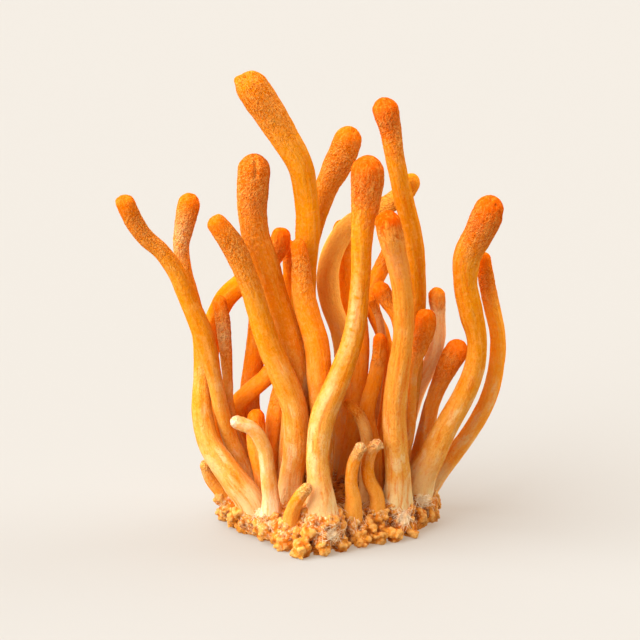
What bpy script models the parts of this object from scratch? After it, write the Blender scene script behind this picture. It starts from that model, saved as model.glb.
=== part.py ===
"""A bunch of orange club fungi on the lump of grain and threads that it grew from.

Lengths are in metres unless a name says millimetres. +Z is up, and the bunch is seen from -Y.
Each club's route is drawn in millimetres on a sheet that leans back with the view: a point is
(across, up the sheet, depth away from the viewer, radius), listed from the foot to the tip.
"""

import math

import bmesh
import bpy
import numpy as np
from mathutils import Vector

MM = 0.001
VIEW_TILT = math.radians(16)  # the sheet that the routes are drawn on leans back by this
CENTRE_ACROSS = -2.65  # this point of the sheet's foot stands above the origin, in millimetres
CENTRE_DEPTH = 0.12
RING_SPACING = 6.8  # between a club's rings, in millimetres
TIP_RINGS = ((0.55, 0.89), (0.15, 0.53), (0.0, 0.2))  # share of the tip's radius: from the end, wide
CLUB_SIDES_RESOLUTION = 2  # eight sides
FIT_GAP = 0.3  # between a club's foot and its socket, in millimetres
SOCKET_REACH = 22.0  # how much of a club's lower end is cleared from the base, in millimetres

LUMP_VOXEL = 0.65 * MM
LUMP_KEEP = 0.115  # share of the remeshed lump's faces that stays

RIPE = (0.80, 0.29, 0.04)
PALE = (0.82, 0.52, 0.27)
SHADED = (0.62, 0.17, 0.02)
GRAIN = (0.83, 0.55, 0.26)

CLUBS = {
    "tall_left_club": (RIPE, [
        (-1.6, 2.6, -2.3, 2), (-1.3, 11, -1.5, 2), (-1.4, 18, -0.9, 2),
        (-2.6, 24.5, -0.5, 1.95), (-3.9, 34.2, -0.5, 1.95), (-4, 42.5, -0.5, 2.1),
        (-3.3, 50, -1, 2), (-3.8, 55.8, -1, 2), (-4.6, 60, -1.5, 2.15), (-6.9, 64.2, -2, 2.35),
        (-9.8, 68.8, -2.5, 2.7), (-12.3, 72.4, -3, 2.8), (-13.7, 75.2, -3, 2.35)]),
    "tall_back_club": (RIPE, [
        (-0.8, 5.2, 4, 1.7), (-1.6, 14.2, 4.2, 1.7), (-2.5, 25.8, 4.2, 1.7),
        (-3.7, 37.5, 4.3, 1.7), (-3.3, 46.7, 4.5, 1.75), (-1.8, 52.5, 5, 1.85),
        (0, 57, 5.5, 2), (1.7, 60.5, 6, 2.45), (3.1, 63.8, 6.5, 2.4), (3.75, 66.6, 6.5, 2.1)]),
    "front_centre_club": (RIPE, [
        (-1.2, -0.8, -13.5, 2.1), (-1.1, 4.2, -13.2, 2.1), (-1.7, 10.8, -12.5, 1.9),
        (-1.0, 17.8, -11.8, 2.05), (1.7, 24.5, -11, 1.95), (4.2, 31.7, -10.5, 1.75),
        (5.3, 40.2, -10, 1.65), (5.7, 49.2, -10, 1.9), (6.3, 55, -10, 2.55),
        (6.5, 58.3, -10, 2.8), (6.5, 61.5, -10, 2.5)]),
    "front_right_club": (RIPE, [
        (11.3, 1.2, -4.5, 2.0), (11.7, 6.7, -5.5, 2.05), (11.3, 13.3, -7, 2.05),
        (11, 18.3, -8, 2.0), (11.5, 24.5, -9, 1.9), (12.5, 32.5, -10, 1.7),
        (12.3, 38.8, -11, 1.75), (11.3, 44.5, -12, 1.9), (10.2, 48.8, -13, 2.2),
        (9.5, 52.3, -13.5, 1.9)]),
    "tall_right_club": (RIPE, [
        (10.2, 3.8, 3.2, 1.7), (12, 11, 2.2, 1.75), (13.5, 21, 1, 1.7),
        (14.5, 30.8, 0.5, 1.65), (14.7, 40, 0, 1.65), (14.2, 47.5, 0, 1.65),
        (12.5, 55, 0, 1.6), (11, 61.7, 0, 1.6), (10.2, 66.7, 0.5, 1.9), (9.5, 69.2, 0.5, 2.2),
        (9, 71.2, 0.5, 2)]),
    "arched_back_club": (SHADED, [
        (1.6, 6.3, 7.6, 1.7), (2.5, 17.5, 8.4, 1.7), (3, 25.8, 8.2, 1.7), (2.1, 32.5, 8, 1.7),
        (0.3, 38, 8, 1.8), (0, 42.8, 8, 1.85), (1.4, 47.1, 8, 1.8), (3.4, 50, 8, 1.7),
        (6.7, 52, 7, 1.65), (10.2, 53.8, 6, 1.65), (12.8, 55.8, 5, 1.7),
        (14.5, 58.6, 4.5, 1.5)]),
    "dark_back_club": (SHADED, [
        (5.5, 7.0, 11.5, 1.5), (4.7, 17.5, 12.3, 1.5), (3.7, 27.5, 12.3, 1.5),
        (2.7, 37.5, 12, 1.5), (2.3, 45.8, 12, 1.75), (2.6, 51.2, 12, 1.7)]),
    "thick_left_club": (RIPE, [
        (-5.8, 3.9, 0.2, 2), (-6.2, 12.5, -1.8, 2.05), (-5.7, 18, -3.2, 2.1),
        (-5.2, 22.5, -4.2, 2.1), (-5.8, 29.2, -4.4, 2.15), (-7.5, 35, -4.2, 2),
        (-9, 39.7, -4, 2), (-10.3, 43.8, -4, 2.3), (-12, 48.3, -4.2, 2.35),
        (-12.5, 52.5, -4.5, 2.45), (-12.45, 56.2, -5, 2.65), (-12.25, 59.2, -5, 2.65),
        (-12.3, 61.85, -5, 2.3)]),
    "front_left_club": (RIPE, [
        (-6.5, 2.1, -4.5, 2.0), (-6.2, 7.5, -5.8, 2.0), (-5.3, 13.3, -7.4, 2.1),
        (-5.7, 20, -8.7, 2.15), (-7.5, 25, -9, 2.15), (-9.8, 30.3, -9, 2.0),
        (-11.7, 36.3, -9, 1.85), (-13.5, 41.7, -9.5, 1.8), (-15.5, 46.2, -10, 1.95),
        (-17.3, 49, -10.5, 1.85), (-19.2, 51.3, -11, 1.5)]),
    "pointed_middle_club": (RIPE, [
        (-2.0, 0.7, -8, 1.9), (-1.0, 10, -7.4, 1.9), (-0.8, 14.5, -7, 1.95),
        (-1, 18.5, -7, 1.95), (-1.4, 24.2, -7.2, 2.1), (-1.8, 30, -7, 2.15), (-3.2, 35, -6.3, 2.0),
        (-4.3, 40, -5.9, 1.8), (-4.5, 43.8, -5.6, 1.5), (-4.8, 46, -5.5, 1.35),
        (-5.1, 47.9, -5.5, 1.1)]),
    "outer_left_club": (RIPE, [
        (-11.8, 0.9, -5.5, 2), (-13.3, 4.7, -6.3, 2.3), (-15.5, 7.5, -6.2, 2.3),
        (-17.7, 10.5, -5.5, 2.15), (-19.7, 13.7, -4.2, 1.95), (-21, 18.8, -2.5, 1.75),
        (-21, 25, -0.8, 1.45), (-21.2, 30.8, -0.3, 1.35), (-22.3, 36.7, 0, 1.3),
        (-23.8, 42.5, 0.5, 1.25), (-24.4, 47, 1, 1.4), (-23.8, 50.5, 1.5, 1.7),
        (-23.25, 53.2, 2, 1.85), (-22.75, 55.5, 2, 1.6)]),
    "far_left_club": (RIPE, [
        (-13, 3, -1.2, 1.5), (-13.9, 8.3, -1, 1.5), (-16.2, 14.2, -1.8, 1.4),
        (-17.9, 20, -3.3, 1.25), (-19, 25, -4, 1.35), (-20, 29.2, -4.4, 1.7),
        (-21, 32.5, -4.6, 1.75), (-23.1, 37.5, -5, 1.55), (-25.1, 42.2, -5.5, 1.5),
        (-27.4, 45.6, -6, 1.4), (-30.3, 48.2, -6.5, 1.45), (-32.4, 51.3, -7, 1.55),
        (-33.4, 53.5, -7.5, 1.55), (-34.1, 55, -7.5, 1.4)]),
    "thin_left_club": (RIPE, [
        (-11.3, 4.7, 3.2, 1.1), (-13.5, 10.8, 2.2, 0.95), (-15.3, 15.8, 1, 0.85),
        (-16.5, 20.8, -0.3, 0.8), (-16.8, 25.8, -1, 0.9), (-17.2, 30.8, -1.5, 1.15),
        (-17.7, 35.5, -2, 1.25), (-18.3, 38.5, -2, 1.15)]),
    "bent_back_club": (SHADED, [
        (-14.3, 5.1, 6.3, 1.5), (-16.6, 9.2, 5.4, 1.5), (-19, 15.8, 5.2, 1.4),
        (-19.6, 22.5, 5, 1.4), (-19.7, 29.2, 4.6, 1.5), (-18.7, 35, 4, 1.7),
        (-16.7, 38.5, 3.5, 1.8), (-13.7, 41, 3, 1.75), (-11, 42.8, 2.8, 1.6), (-9, 45, 3, 1.6),
        (-8, 47.5, 3, 1.7), (-7.8, 49.9, 3, 1.5)]),
    "hooked_left_sprout": (PALE, [
        (-9.3, -0.4, -10, 1.5), (-9.5, 4.2, -10.5, 1.4), (-10, 9.2, -11, 1.3),
        (-10.7, 13.5, -11.3, 1.2), (-12.5, 16.3, -11.5, 1.15), (-14.7, 17.3, -11.5, 1.15),
        (-16.2, 17.8, -11.5, 1.05)]),
    "left_foot_bud": (PALE, [
        (-16, 2.6, 0.5, 1.2), (-17.6, 5.4, -0.3, 1.1), (-19.6, 8, -0.8, 1.1),
        (-20.7, 11, -1.2, 1)]),
    "shaded_left_club": (SHADED, [
        (-8.6, 5.9, 7.4, 1.3), (-10.3, 11, 7.9, 1.4), (-12, 16, 8, 1.6),
        (-13.2, 20.5, 7.2, 1.7), (-12.7, 25, 6, 1.75), (-12.1, 30, 4.2, 1.6),
        (-11.9, 35, 1.5, 1.4), (-12, 38.3, 0, 1.25)]),
    "low_back_club": (SHADED, [
        (-12, 6, 9.5, 1.5), (-14.5, 12, 8.2, 1.5), (-15.3, 16.8, 5.4, 1.5),
        (-15, 20.4, 3.2, 1.5), (-12.7, 22.8, 2, 1.5), (-10, 25.2, 1.6, 1.5),
        (-8, 28, 1.8, 1.5), (-6.9, 30.6, 2.2, 1.35)]),
    "inner_left_club": (SHADED, [
        (-9.6, 2.9, -1.8, 1.5), (-11, 9.2, -3.4, 1.55), (-11.9, 14.3, -3.8, 1.65),
        (-12, 17.2, -3.8, 1.55), (-11.9, 19.6, -3.6, 1.25)]),
    "inner_low_club": (SHADED, [
        (-8.2, 4.8, 3.6, 1.2), (-9.3, 12, 1, 1.5), (-8.9, 17.3, 0, 1.6), (-8, 22, -0.8, 1.5),
        (-7.2, 25.3, -1.1, 1.2)]),
    "slim_back_club": (SHADED, [
        (-3.8, 6.4, 7.8, 1.2), (-4.2, 15.8, 8.2, 1.2), (-5, 27.5, 8.2, 1.2),
        (-6.3, 37.5, 7.5, 1.2), (-6.3, 43.3, 7, 1.25), (-6.5, 47.7, 7, 1.2)]),
    "crossing_club": (SHADED, [
        (8, 6, 6.3, 1.3), (9.3, 15.8, 5.5, 1.3), (10, 25.8, 5, 1.25), (9.2, 32, 4.5, 1.2),
        (7.7, 35.5, 4, 1.2), (7.3, 38.8, 4, 1.3), (8.8, 42.8, 4, 1.35), (10.3, 45.8, 4, 1.4),
        (11.2, 47.8, 4, 1.25)]),
    "pale_neck_club": (PALE, [
        (4.4, 3.9, 0.3, 0.9), (7.2, 15.8, 2, 0.85), (8.5, 24.2, 2, 0.75), (9, 31.7, 1.7, 0.7),
        (8.2, 35.7, 1.1, 0.7), (6.9, 38.3, 0.5, 0.8)]),
    "small_cap_club": (RIPE, [
        (7.3, 4.2, 1.2, 1.1), (9.3, 14.5, 0.8, 1.1), (10.3, 20, -0.9, 1.1),
        (11.4, 24.5, -2.5, 1.1), (12.1, 30.5, -3.2, 1.1), (11.3, 35.2, -2.2, 1.1),
        (9.9, 37.6, -1.4, 1.4), (8.9, 39.2, -1, 1.55), (8.3, 40.7, -1, 1.4)]),
    "inner_red_club": (SHADED, [
        (2.8, 5.3, 3.5, 1.5), (4.3, 15.8, 3, 1.5), (5, 22.5, 2.5, 1.5), (5.5, 29.2, 2, 1.45),
        (5.2, 34.2, 1.9, 1.45), (4.9, 37.2, 2, 1.3)]),
    "short_inner_club": (RIPE, [
        (7.6, 3.2, -2.4, 1.2), (7.7, 12.5, -2.6, 1.25), (6.5, 18.8, -3, 1.35),
        (7.7, 24.2, -3.5, 1.25), (8.5, 28.3, -4, 1.25), (8.7, 32.2, -4, 1.1)]),
    "pink_sprout": (PALE, [
        (5.8, 1.1, -6, 1.1), (6.4, 8.3, -5.5, 1.1), (6.6, 12.5, -6, 1.1), (5.8, 17.3, -7, 1.05),
        (4.5, 19.5, -7.8, 1.0), (2.8, 21, -8.3, 0.9)]),
    "front_sprout": (PALE, [
        (3.8, -0.5, -10.5, 1.4), (4.2, 4.2, -11, 1.25), (3.8, 7.5, -11.3, 1.05),
        (4.2, 10.5, -11.5, 1.05), (5.8, 14, -12, 0.95)]),
    "second_front_sprout": (PALE, [
        (8, 0.3, -7.5, 1.2), (8, 5.3, -8.2, 1.1), (6.8, 8, -8.7, 1.1), (6.7, 10.8, -9.2, 1.05),
        (7.3, 12.8, -9.7, 1.05), (8.8, 14.3, -10.2, 0.95)]),
    "finger_bud": (PALE, [
        (-6.2, -1.2, -13, 1.1), (-6, 2.3, -14.3, 1.1), (-5.2, 4.3, -15.3, 1.1),
        (-3, 7.2, -16.5, 0.95)]),
    "right_curved_club": (RIPE, [
        (14, 2.8, -0.1, 2.1), (15.6, 8.3, -1, 2.4), (17.5, 12, -1.8, 2.25),
        (19.8, 16.7, -2.5, 2.0), (22.3, 21.3, -3, 1.9), (24.3, 26.2, -3, 1.75),
        (24.8, 30.8, -3, 1.7), (23.8, 35.7, -3, 2.0), (22.8, 40.8, -3, 2.05),
        (23.3, 45.5, -3.2, 2.35), (25, 48.7, -3.5, 2.5), (26.5, 52.2, -4, 2.6),
        (27.2, 55, -4, 2.2)]),
    "outer_right_club": (RIPE, [
        (15.3, 4, 4, 1.5), (18.5, 8.3, 3.5, 1.45), (21.6, 12.6, 3, 1.5),
        (24.6, 16.9, 2.5, 1.45), (26.8, 21.2, 2, 1.4), (28.15, 26.7, 2, 1.35),
        (28.35, 31.7, 2, 1.35), (27.3, 36.8, 2, 1.4), (26.3, 41.7, 2, 1.35),
        (25.8, 45.7, 2, 1.2)]),
    "short_right_club": (RIPE, [
        (12.5, 5.2, 6.8, 1.4), (15.2, 11.2, 5.2, 1.5), (16.5, 16, 4, 1.5),
        (17.4, 20.3, 2.4, 1.3), (18.7, 23.8, 1.5, 1.45), (20.2, 27, 0.5, 1.85),
        (21.4, 29.1, 0.6, 2), (22.6, 30.9, 1, 1.7)]),
    "slender_right_club": (PALE, [
        (9.8, 6, 9.3, 1.2), (12.4, 12.5, 8.4, 1.1), (13.9, 18.3, 6.6, 1.15),
        (15.4, 23.3, 4.6, 1.25), (17.2, 27.2, 3.4, 1.3), (18.4, 31.2, 2.7, 1.2),
        (18.4, 35.5, 2.2, 1.2), (18.2, 38, 2, 1.45), (18, 39.8, 2, 1.35)]),
    "narrow_foot_club": (RIPE, [
        (10.9, 3.7, -0.6, 0.6), (12, 10, -1.3, 0.65), (13.8, 15.8, -2.5, 0.7),
        (14, 21.7, -3.2, 0.75), (14.2, 26.3, -3.7, 0.95), (15.3, 30, -4, 1.4),
        (16.2, 33.5, -4.3, 1.75), (16.2, 36.3, -4.3, 1.5)]),
    "back_club_1": (RIPE, [
        (-5.5, 6.9, 11, 1.6), (-5.6, 20, 12.3, 1.6), (-7, 32, 13.3, 1.5), (-9.5, 42, 14.2, 1.55),
        (-11.8, 48, 15, 1.7), (-12.6, 54, 15.5, 1.9), (-12.5, 57, 15.5, 1.7)]),
    "back_club_2": (RIPE, [
        (-1, 7, 11.3, 1.6), (-2.2, 22, 12.3, 1.6), (-3.5, 36, 13.5, 1.6), (-3.7, 46, 14.3, 1.7),
        (-3.5, 52, 15, 1.8), (-3.3, 55, 15.3, 1.6)]),
    "back_club_3": (RIPE, [
        (9.5, 7.5, 13.3, 1.5), (12, 20, 13.5, 1.4), (13.7, 32, 14, 1.4), (13.9, 42, 14.8, 1.6),
        (13.3, 49, 15.3, 1.7), (12.8, 51.5, 15.4, 1.5)]),
    "back_club_4": (RIPE, [
        (-8, 7.2, 13.5, 1.3), (-6.6, 18, 15.5, 1.2), (-7.6, 26, 17, 1.4), (-8.8, 31.5, 18, 1.4),
        (-9, 34, 18.3, 1.2)]),
}

# The lump's masses and knobs stand on the ground plan: (x, y, height of centre, radii in x, y and z).
LUMP_MASSES = [
    (0, 0, 1.8, 14.5, 12, 5.6), (-3.6, -8.8, 2.0, 7.6, 7.8, 3.7), (-10.6, -1.6, 2.2, 6.2, 6, 3.7),
    (11.3, -0.6, 2.1, 6, 5.8, 3.7), (0, 8, 1.9, 12.5, 7.2, 4.6), (-9.6, 5.6, 1.9, 6.3, 6.4, 4.2),
    (9.8, 6.2, 1.8, 6.3, 6.4, 4.2), (4, -7.0, 2.0, 7.4, 5.4, 3.4), (-8.6, -6.6, 2.2, 4.6, 4.4, 3.2),
]
# The knobs that show in front, hand-placed: (x, y, height of centre, radius).
FRONT_KNOBS = [
    (-17.0, -0.3, 3.1, 1.35), (-15.1, -3.9, 3.0, 1.35), (-12.3, -7.0, 3.0, 1.5),
    (-15.6, -1.6, 1.1, 1.2), (-13.2, -4.4, 1.0, 1.2), (-10.5, -8.2, 1.3, 1.35),
    (-8.8, -11.0, 3.4, 1.25), (-7.5, -13.8, 1.3, 1.5), (-5.4, -14.6, 3.2, 1.2),
    (-4.2, -17.6, 1.3, 1.7), (-3.0, -16.4, 3.7, 1.25), (-0.8, -15.2, 3.9, 1.15),
    (-1.1, -16.4, 1.4, 1.5), (1.7, -14.2, 3.8, 1.15), (2.2, -14.4, 1.2, 1.4),
    (5.4, -12.2, 1.3, 1.5), (4.4, -11.4, 3.4, 1.1), (6.9, -9.7, 3.7, 1.2),
    (9.3, -8.0, 3.4, 1.4), (8.2, -10.4, 1.2, 1.4), (10.9, -8.9, 1.1, 1.5),
    (12.4, -6.9, 2.6, 1.4), (13.9, -6.6, 1.1, 1.4), (14.9, -3.8, 3.1, 1.3),
    (16.3, -1.9, 2.0, 1.4), (16.9, 0.6, 3.4, 1.2), (16.4, 0.6, 1.1, 1.3),
]
BACK_KNOBS = 26  # along the rim that is hidden in front
BACK_RIM_ACROSS = 17.2
BACK_RIM_DEPTH = 15.6


def in_row_frame(across, up, depth):
    """The place in metres of a point given in millimetres on the leaning sheet."""
    height = (up - depth * math.sin(VIEW_TILT)) / math.cos(VIEW_TILT)
    return ((across - CENTRE_ACROSS) * MM, (depth - CENTRE_DEPTH) * MM, height * MM)


def smooth_route(points, spacing):
    """Points and radii about a spacing apart on a smooth curve through the listed ones, in millimetres."""
    listed = np.array(points, float)
    gaps = np.linalg.norm(np.diff(listed[:, :3], axis=0), axis=1)
    stations = np.concatenate([[0.0], np.cumsum(gaps)])
    slopes = np.gradient(listed, stations, axis=0)
    tip_radius = listed[-1, 3]
    body = np.linspace(0.0, stations[-1] - tip_radius, 1 + max(3, round(stations[-1] / spacing)))
    tip = stations[-1] - tip_radius * np.array([share for share, _ in TIP_RINGS])
    wanted = np.concatenate([body, tip])
    index = np.clip(np.searchsorted(stations, wanted) - 1, 0, len(gaps) - 1)
    step = gaps[index][:, None]
    s = ((wanted - stations[index]) / gaps[index])[:, None]
    route = (
        (2 * s**3 - 3 * s**2 + 1) * listed[index]
        + (s**3 - 2 * s**2 + s) * step * slopes[index]
        + (3 * s**2 - 2 * s**3) * listed[index + 1]
        + (s**3 - s**2) * step * slopes[index + 1]
    )
    route[-len(TIP_RINGS):, 3] = tip_radius * np.array([wide for _, wide in TIP_RINGS])
    return route


def tube(name, rings, collection):
    """A round tube through the rings, which are (across, up, depth, radius), closed at both ends."""
    curve = bpy.data.curves.new(name, "CURVE")
    curve.dimensions = "3D"
    curve.bevel_depth = MM
    curve.bevel_resolution = CLUB_SIDES_RESOLUTION
    curve.use_fill_caps = True
    line = curve.splines.new("POLY")
    line.points.add(len(rings) - 1)
    for point, (across, up, depth, radius) in zip(line.points, rings):
        point.co = (*in_row_frame(across, up, depth), 1.0)
        point.radius = radius
    piece = bpy.data.objects.new(name, curve)
    collection.objects.link(piece)
    return piece


def painted(name, colour, roughness):
    """A plain skin of one colour."""
    material = bpy.data.materials.new(name)
    material.use_nodes = True
    shader = material.node_tree.nodes["Principled BSDF"]
    shader.inputs["Base Color"].default_value = (*colour, 1.0)
    shader.inputs["Roughness"].default_value = roughness
    shader.inputs["Metallic"].default_value = 0.0
    return material


def as_mesh(piece):
    """The piece as the viewport shows it, in a mesh of its own."""
    bpy.context.view_layer.update()
    graph = bpy.context.evaluated_depsgraph_get()
    return bpy.data.meshes.new_from_object(piece.evaluated_get(graph))


def club(name, colour, points, collection):
    piece = tube(name, smooth_route(points, RING_SPACING), collection)
    piece.data.materials.append(painted(name, colour, 0.75))
    return piece


def socket_cutter(name, points, collection):
    """The lower end of a club, grown by the gap that its socket leaves round it."""
    rings = smooth_route(points, RING_SPACING)
    lower = np.linalg.norm(rings[:, :3] - rings[0, :3], axis=1) < SOCKET_REACH
    rings = rings[lower][:-1] if lower.all() else rings[lower]
    outward = rings[0, :3] - rings[1, :3]
    rings[0, :3] += outward / np.linalg.norm(outward) * FIT_GAP
    rings[:, 3] += FIT_GAP
    guide = tube(name, rings, collection)
    mesh = as_mesh(guide)
    bm = bmesh.new()
    bm.from_mesh(mesh)
    bmesh.ops.remove_doubles(bm, verts=bm.verts, dist=0.01 * MM)
    bm.to_mesh(mesh)
    bm.free()
    cutter = bpy.data.objects.new(name, mesh)
    cutter.matrix_world = guide.matrix_world
    collection.objects.link(cutter)
    bpy.data.objects.remove(guide)
    cutter.hide_render = True
    cutter.display_type = "WIRE"
    return cutter


def add_ball(bm, x, y, z, radii, turns=2):
    """One round lump, given in millimetres on the ground plan."""
    made = bmesh.ops.create_icosphere(bm, subdivisions=turns, radius=MM)["verts"]
    bmesh.ops.scale(bm, verts=made, vec=Vector(radii))
    place = ((x - CENTRE_ACROSS) * MM, (y - CENTRE_DEPTH) * MM, z * MM)
    bmesh.ops.translate(bm, verts=made, vec=Vector(place))


def back_knobs():
    """Knobs round the hidden half of the rim, on half an ellipse, in an uneven rhythm."""
    knobs = []
    for number in range(BACK_KNOBS):
        turn = math.pi * (number + 0.5) / BACK_KNOBS
        wave = math.sin(number * 2.4)
        high = number % 2
        knobs.append((
            (BACK_RIM_ACROSS + 0.7 * wave) * math.cos(turn),
            (BACK_RIM_DEPTH + 0.7 * wave) * math.sin(turn),
            1.3 + 1.9 * high,
            1.25 + 0.25 * math.sin(number * 1.7),
        ))
    return knobs


def base_lump(collection, cutters):
    """Masses and knobs run together, cut off flat at the ground, with a socket for each club."""
    bm = bmesh.new()
    for x, y, z, *radii in LUMP_MASSES:
        add_ball(bm, x, y, z, radii, turns=4)
    for x, y, z, radius in FRONT_KNOBS + back_knobs():
        add_ball(bm, x, y, z, (radius, radius, radius), turns=3)
    mesh = bpy.data.meshes.new("lump_masses")
    bm.to_mesh(mesh)
    bm.free()
    masses = bpy.data.objects.new("lump_masses", mesh)
    collection.objects.link(masses)
    remesh = masses.modifiers.new("run_together", "REMESH")
    remesh.mode = "VOXEL"
    remesh.voxel_size = LUMP_VOXEL
    thin = masses.modifiers.new("fewer_faces", "DECIMATE")
    thin.ratio = LUMP_KEEP
    run_together = as_mesh(masses)
    bpy.data.objects.remove(masses)

    bm = bmesh.new()
    bm.from_mesh(run_together)
    everything = bm.verts[:] + bm.edges[:] + bm.faces[:]
    cut = bmesh.ops.bisect_plane(bm, geom=everything, plane_no=(0, 0, 1), clear_inner=True)
    rim = [edge for edge in cut["geom_cut"] if isinstance(edge, bmesh.types.BMEdge)]
    bmesh.ops.contextual_create(bm, geom=rim)
    bmesh.ops.recalc_face_normals(bm, faces=bm.faces)
    bm.to_mesh(run_together)
    bm.free()

    lump = bpy.data.objects.new("base_lump", run_together)
    collection.objects.link(lump)
    sockets = lump.modifiers.new("sockets", "BOOLEAN")
    sockets.operation = "DIFFERENCE"
    sockets.operand_type = "COLLECTION"
    sockets.collection = cutters
    sockets.solver = "EXACT"
    lump.data.materials.append(painted("base_lump", GRAIN, 0.9))
    return lump


for old in list(bpy.data.objects):
    bpy.data.objects.remove(old)
bunch = bpy.data.collections.new("cordyceps_bunch")
cutting = bpy.data.collections.new("cutters")
for group in (bunch, cutting):
    bpy.context.scene.collection.children.link(group)
cutting.hide_render = True

for club_name, (skin, listed_points) in CLUBS.items():
    club(club_name, skin, listed_points, bunch)
    socket_cutter(club_name + "_socket", listed_points, cutting)
base_lump(bunch, cutting)
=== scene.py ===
import math

import bmesh
import bpy
import numpy as np
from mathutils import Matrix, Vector, noise
from mathutils.bvhtree import BVHTree


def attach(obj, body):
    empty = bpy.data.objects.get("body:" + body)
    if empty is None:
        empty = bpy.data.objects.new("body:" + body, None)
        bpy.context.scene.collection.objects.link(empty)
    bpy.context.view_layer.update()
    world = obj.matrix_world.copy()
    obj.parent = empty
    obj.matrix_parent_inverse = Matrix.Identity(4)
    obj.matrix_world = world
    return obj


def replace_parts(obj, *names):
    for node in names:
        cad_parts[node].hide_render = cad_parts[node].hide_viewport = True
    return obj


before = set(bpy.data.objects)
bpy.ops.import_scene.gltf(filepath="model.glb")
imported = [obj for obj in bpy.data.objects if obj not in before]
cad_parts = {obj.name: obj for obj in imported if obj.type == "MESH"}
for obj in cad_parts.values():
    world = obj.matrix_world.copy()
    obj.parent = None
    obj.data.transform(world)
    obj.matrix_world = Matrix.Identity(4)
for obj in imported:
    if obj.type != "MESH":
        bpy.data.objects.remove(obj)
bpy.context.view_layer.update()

# The view. The photo looks down on the bunch a little, from far off, on a plain cream sheet, in a broad
# soft light from the upper left. Places are drawn in millimetres on a sheet that leans back with the view:
# (across, up the sheet, depth away from the viewer). Blender's metres come last.
MM = 0.001
VIEW_TILT = math.radians(16)
CENTRE_ACROSS = -2.65  # this point of the sheet's foot stands above the origin
CENTRE_DEPTH = 0.12
PICTURE_CENTRE = (-1.33, 34.4, 0.0)  # on the leaning sheet
PICTURE_WIDTH = 0.10667
CAMERA_DISTANCE = 1.5
SENSOR_WIDTH = 36.0
FLOOR_RADIUS = 6.0
FLOOR_DROP = 0.02 * MM  # keeps the floor just clear of the lump's cut face


def in_row_frame(across, up, depth):
    """The place in metres of a point given in millimetres on the leaning sheet."""
    height = (up - depth * math.sin(VIEW_TILT)) / math.cos(VIEW_TILT)
    return ((across - CENTRE_ACROSS) * MM, (depth - CENTRE_DEPTH) * MM, height * MM)


def link(thing):
    bpy.context.scene.collection.objects.link(thing)
    return thing


def far_light(name, place, strength, breadth, colour):
    """Light that comes from this side, evenly, and from a broad part of the sky."""
    light = bpy.data.lights.new(name, "SUN")
    light.angle = math.radians(breadth)
    light.energy = strength
    light.color = colour
    lamp = link(bpy.data.objects.new(name, light))
    lamp.location = place
    lamp.rotation_euler = (-Vector(place)).to_track_quat("-Z", "Y").to_euler()


picture_centre = Vector(in_row_frame(*PICTURE_CENTRE))
camera = link(bpy.data.objects.new("camera", bpy.data.cameras.new("camera")))
toward_viewer = Vector((0, -math.cos(VIEW_TILT), math.sin(VIEW_TILT)))
camera.location = picture_centre + toward_viewer * CAMERA_DISTANCE
camera.rotation_euler = (math.pi / 2 - VIEW_TILT, 0, 0)
camera.data.sensor_width = SENSOR_WIDTH
camera.data.lens = SENSOR_WIDTH * CAMERA_DISTANCE / PICTURE_WIDTH
bpy.context.scene.camera = camera
bpy.context.scene.view_settings.view_transform = "Standard"

WARM_WHITE = (1.0, 0.98, 0.95)
SKY_TINT = (1.0, 0.965, 0.91, 1.0)
SKY_STRENGTH = 0.08
PAPER = (0.145, 0.169, 0.181, 1.0)
PAPER_GLOW = (0.427, 0.314, 0.222, 1.0)  # keeps the shadows on the sheet soft and warm
far_light("window", (-0.65, -0.32, 0.7), 8.5, 75, WARM_WHITE)
far_light("ceiling", (0.05, 0.5, 0.86), 2.0, 70, WARM_WHITE)
far_light("rim", (0.85, 0.3, 0.4), 2.4, 50, WARM_WHITE)
far_light("fill", (-0.1, -0.9, 0.3), 0.6, 70, WARM_WHITE)

sky = bpy.data.worlds.new("sky")
bpy.context.scene.world = sky
sky.use_nodes = True
sky.node_tree.nodes["Background"].inputs["Color"].default_value = SKY_TINT
sky.node_tree.nodes["Background"].inputs["Strength"].default_value = SKY_STRENGTH

bm = bmesh.new()
bmesh.ops.create_circle(bm, cap_ends=True, segments=64, radius=FLOOR_RADIUS)
bmesh.ops.translate(bm, verts=bm.verts, vec=(0, 0, -FLOOR_DROP))
floor_mesh = bpy.data.meshes.new("floor")
bm.to_mesh(floor_mesh)
bm.free()
floor = link(bpy.data.objects.new("floor", floor_mesh))
paper = bpy.data.materials.new("cream_paper")
paper.use_nodes = True
paper_shader = paper.node_tree.nodes["Principled BSDF"]
paper_shader.inputs["Base Color"].default_value = PAPER
paper_shader.inputs["Emission Color"].default_value = PAPER_GLOW
paper_shader.inputs["Emission Strength"].default_value = 1.0
paper_shader.inputs["Roughness"].default_value = 0.9
floor_mesh.materials.append(paper)


# The tall clubs. Each is one fruiting body: a soft, slightly translucent stem that thickens into a fertile
# head, whose skin is grainy with tiny pores. They grew upwards out of the lump, in slow S-curves. Each of
# their meshes is rings round the club's route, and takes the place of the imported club.
HEAD_RING = 0.22  # between a head's rings, in millimetres
STEM_RING = 0.5
RINGS_OVER_TIP = 12
COLUMN_WIDTH = 0.22
WELD = 1e-6  # in metres, for points that meet
FLARE_LENGTH = 4.5
SWELLING_SIZE = 3.2  # slow unevenness of a club's width, and how much of its radius that is
SWELLING_SHARE = 0.045
WAVE_SIZE = 1.4
WAVE_HEIGHT = 0.05
RIDGE_SIZE = 1.0
RIDGE_STRETCH = np.array([1, 1, 0.12])  # draws ridges out along the club
GRAIN_CELL = 0.5
GRAIN_HEIGHT = 0.045
GRAIN_ON_STEM = 0.12  # of the grain on the head
HEAD_FADES = (0.75, 1.25)  # between these shares of a head's length its grain fades into the stem
FOOT_FADES = (5, 14)  # between these distances from the foot its stronger ridges fade
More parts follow.
